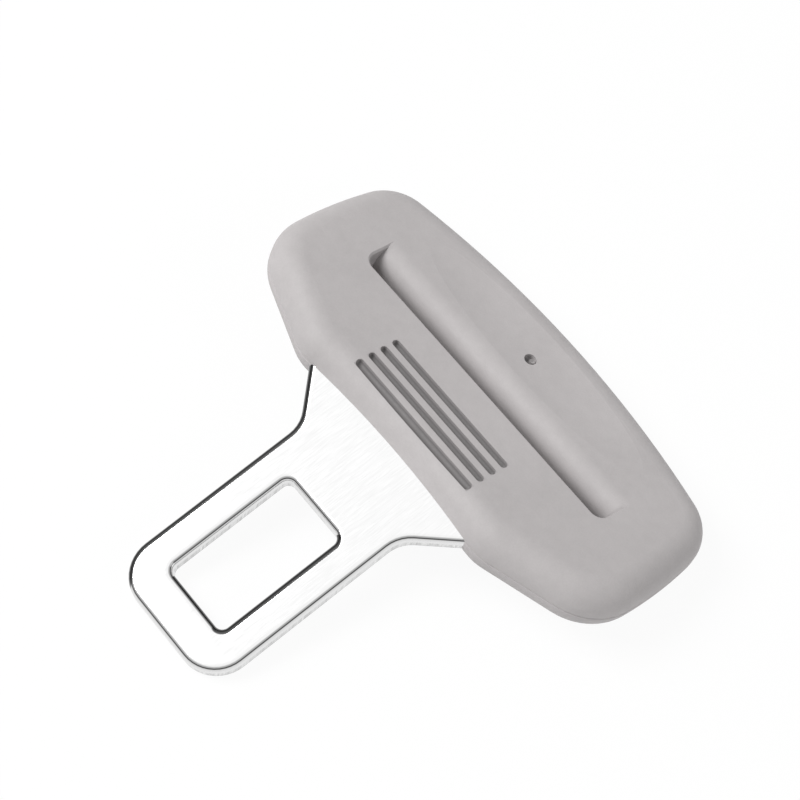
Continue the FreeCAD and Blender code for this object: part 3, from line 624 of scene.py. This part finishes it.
# %% Walls and caps
def add_outlines(metal):
    """The pattern at every step of the edge, each vertex with its edge_turn."""
    turned = metal.verts.layers.float.new("edge_turn")
    levels = []
    for inset, height, turn in edge_profile():
        rings = [[metal.verts.new((*point, height)) for point in moved_in(points, inset)]
                 for points in pattern]
        for ring in rings:
            for vert in ring:
                vert[turned] = turn
        levels.append(rings)
    return levels


def add_walls(metal, levels):
    """Quads between every outline and the next one down."""
    for upper_rings, lower_rings in zip(levels, levels[1:]):
        for upper, lower in zip(upper_rings, lower_rings):
            for i in range(len(upper)):
                metal.faces.new((upper[i - 1], lower[i - 1], lower[i], upper[i]))


def add_cap(metal, rings):
    """Triangles over a flat face, around its openings."""
    verts = [vert for ring in rings for vert in ring]
    for corners in tessellate_polygon([[vert.co for vert in ring] for ring in rings]):
        metal.faces.new([verts[i] for i in corners])


# %% [markdown]
# ## The plate: put together
# The vertices move round the bend after the faces are made, so the normals are reckoned again
# before they are turned outwards. A volume above 0 shows that they are. Smooth shading rounds the
# roll, edges sharper than 40 degrees stay crisp, and the weighted normals keep the flat faces
# flat, which matters on a mirror.

# %% Build the plate
SHARP_EDGE = math.radians(40)


def build_plate(name):
    """The stamping as an object."""
    metal = bmesh.new()
    levels = add_outlines(metal)
    add_walls(metal, levels)
    add_cap(metal, levels[0])
    add_cap(metal, levels[-1])
    cut_for_bend(metal)
    for vert in metal.verts:
        vert.co = fold(vert.co)
    metal.normal_update()
    bmesh.ops.recalc_face_normals(metal, faces=metal.faces)
    volume = metal.calc_volume(signed=True) / MM ** 3

    mesh = bpy.data.meshes.new(name)
    metal.to_mesh(mesh)
    metal.free()
    mesh.shade_smooth()
    mesh.set_sharp_from_angle(angle=SHARP_EDGE)
    piece = bpy.data.objects.new(name, mesh)
    bpy.context.scene.collection.objects.link(piece)
    piece.modifiers.new("flat_faces", "WEIGHTED_NORMAL").keep_sharp = True
    print(name, "has", len(mesh.polygons), "faces and", round(volume), "cubic mm")
    return piece


plate = build_plate("stamped_plate")
plate.data.materials.append(plated_steel())
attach(plate, "root")
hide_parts("latch_plate")

# %% [markdown]
# ## The floor
# The clip lies on a white sheet. More light would make the sheet whiter, but would wash out the
# clip too. So the sheet is a mix: to the camera and to mirrors it is mostly plain white, and a
# small share stays matt paper, which keeps the shadow of the clip. All other rays meet paper
# alone. Light Path tells the rays apart.

# %% Floor
FLOOR_SIZE = 3.0
FLOOR_GAP = 0.02 * MM
FLOOR_SHARE = 0.93
PAPER = (0.95, 0.95, 0.95, 1)
WHITE = (1, 1, 1, 1)


def plain_rays(tree):
    """1 for rays from the camera, from a mirror or through glass, and 0 for all others."""
    path = add_node(tree, "LightPath").outputs
    seen = reckon(tree, "MAXIMUM", path["Is Camera Ray"], path["Is Glossy Ray"])
    return reckon(tree, "MAXIMUM", seen, path["Is Transmission Ray"])


def white_floor():
    material, tree, output = start_material("floor_sheet")
    paper = add_node(tree, "BsdfDiffuse", Color=PAPER)
    glow = add_node(tree, "Emission", Color=WHITE, Strength=1.0)
    mix = add_node(tree, "MixShader", Fac=multiply(tree, plain_rays(tree), FLOOR_SHARE))
    tree.links.new(paper.outputs["BSDF"], mix.inputs[1])
    tree.links.new(glow.outputs["Emission"], mix.inputs[2])
    tree.links.new(mix.outputs["Shader"], output.inputs["Surface"])
    return material


bpy.ops.mesh.primitive_plane_add(size=FLOOR_SIZE, location=(0, 0, cad_low.z - FLOOR_GAP))
floor = bpy.context.object
floor.name = "floor"
floor.data.materials.append(white_floor())
print("floor at", round(floor.location.z / MM, 3), "mm")

# %% [markdown]
# ## The world
# A white room gives the steel something bright to mirror. The same Light Path numbers show it at
# full strength to the camera and to mirrors, and let it light the clip at less than half of that.

# %% World
WORLD_LIGHT = 0.4

world = bpy.data.worlds.new("soft_studio")
bpy.context.scene.world = world
world.use_nodes = True
world_tree = world.node_tree
background = world_tree.nodes["Background"]
plug(world_tree, WHITE, background.inputs["Color"])
plug(world_tree, span(world_tree, plain_rays(world_tree), WORLD_LIGHT, 1, WHOLE),
     background.inputs["Strength"])
print("the world lights at", WORLD_LIGHT)

# %% [markdown]
# ## The lamps
# One large soft lamp stands over the left end of the grip and in front of it. It lights the near
# wall of every roll, and leaves the right end and the slot darker, as in the photograph. A weak
# second lamp on the right keeps that end from going too dark. A lamp's power is worked out from
# how bright a white card should look under it, so it can be moved without getting dimmer.

# %% Lamps
def soft_lamp(name, place, size, level):
    """A square lamp aimed at the clip, so strong that a facing white card gets that level."""
    data = bpy.data.lights.new(name, "AREA")
    data.size = size
    lamp = bpy.data.objects.new(name, data)
    bpy.context.scene.collection.objects.link(lamp)
    lamp.location = place
    aim = (cad_low + cad_high) / 2 - Vector(place)
    lamp.rotation_mode = "QUATERNION"
    lamp.rotation_quaternion = aim.to_track_quat("-Z", "Y")
    data.energy = level * (math.pi * aim.length) ** 2
    print(name, "at", round(aim.length, 2), "m gives", round(data.energy, 2), "W")


soft_lamp("key_lamp", place=(-0.5, -0.42, 0.76), size=0.5, level=0.82)
soft_lamp("end_lamp", place=(0.7, 0.3, 0.5), size=0.4, level=0.16)

# %% [markdown]
# ## The camera
# The viewpoint was worked out from the straight edges of the blade, the window, the slot and the
# grooves. It looks down at the clip from the right front with a long lens, and is rolled so that
# the grip runs from the upper left to the lower right.

# %% Camera
CAMERA_PLACE = Vector((96.43, -123.58, 301.72)) * MM
CAMERA_AIM = Vector((-9.01, 13.0, 0)) * MM
CAMERA_ROLL = math.radians(14.96)
LENS = 107.83
NEAREST = 0.01
FURTHEST = 10

camera_data = bpy.data.cameras.new("portrait_camera")
camera_data.lens = LENS
camera_data.clip_start = NEAREST
camera_data.clip_end = FURTHEST
camera = bpy.data.objects.new("portrait_camera", camera_data)
bpy.context.scene.collection.objects.link(camera)
level_view = (CAMERA_AIM - CAMERA_PLACE).to_track_quat("-Z", "Y")
camera.location = CAMERA_PLACE
camera.rotation_mode = "QUATERNION"
camera.rotation_quaternion = level_view @ Quaternion((0, 0, 1), CAMERA_ROLL)
bpy.context.scene.camera = camera
bpy.context.scene.view_settings.view_transform = "Standard"
print("camera", round((CAMERA_AIM - CAMERA_PLACE).length, 3), "m away")
